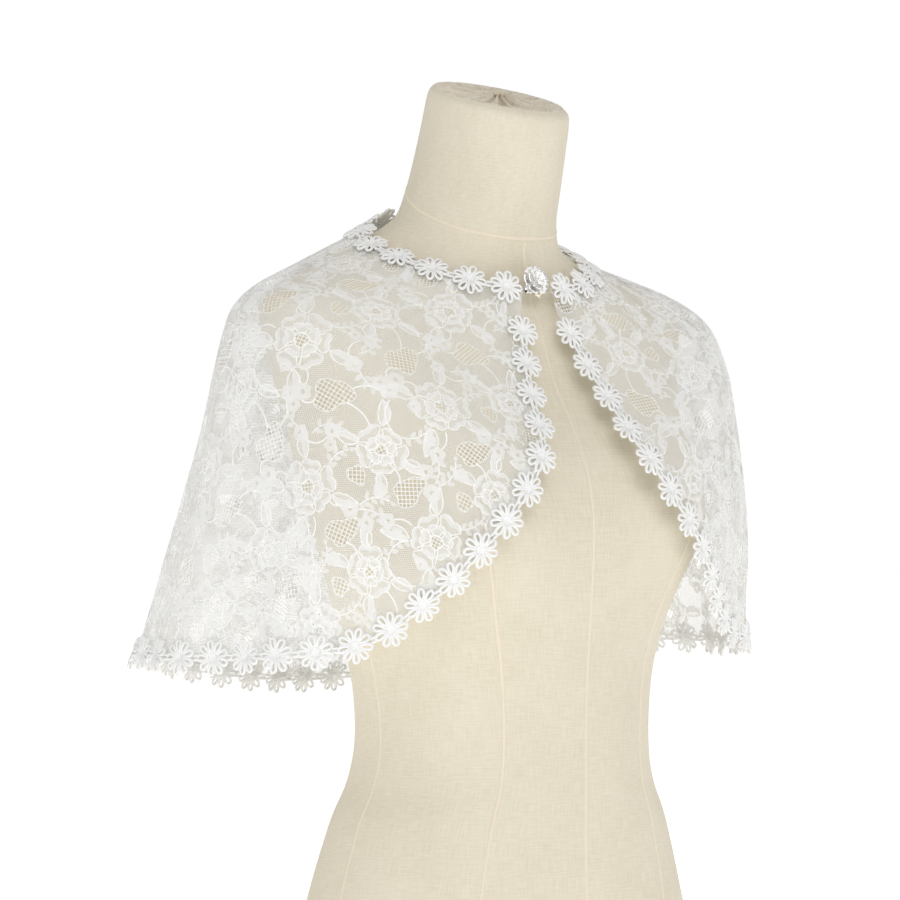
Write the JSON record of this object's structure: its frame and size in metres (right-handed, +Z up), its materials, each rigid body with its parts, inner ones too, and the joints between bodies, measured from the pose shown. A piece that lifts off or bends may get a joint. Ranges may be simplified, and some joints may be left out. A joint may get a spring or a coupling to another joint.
{
  "type": "lace capelet on limbless dress form",
  "caption": "White lace capelet with a daisy trim and a rose clasp at the neck, worn on a limbless cream dress form that stands on its flat base.",
  "frame": {"origin": "middle of the dress form's flat base", "axes": "+Z up along the form, -Y to the figure's front, +X to the figure's left"},
  "size_m": [0.5142, 0.3669, 0.7387],
  "materials": {
    "lace": "matt white net with raised white cord",
    "trim_thread": "slightly shiny white embroidery thread",
    "linen": "matt cream plain weave",
    "linen_gathered": "matt cream plain weave in gathers",
    "silver": "polished silver plate with clear stones"
  },
  "bodies": {
    "root": {"cape_back": "lace", "cape_left_front": "lace", "cape_right_front": "lace", "clasp_eye": "silver", "clasp_hook": "silver", "clasp_rose": "silver", "edge_trim": "trim_thread", "form_neck_cap": "linen_gathered", "form_torso": "linen", "neck_trim": "trim_thread"}
  },
  "joints": []
}
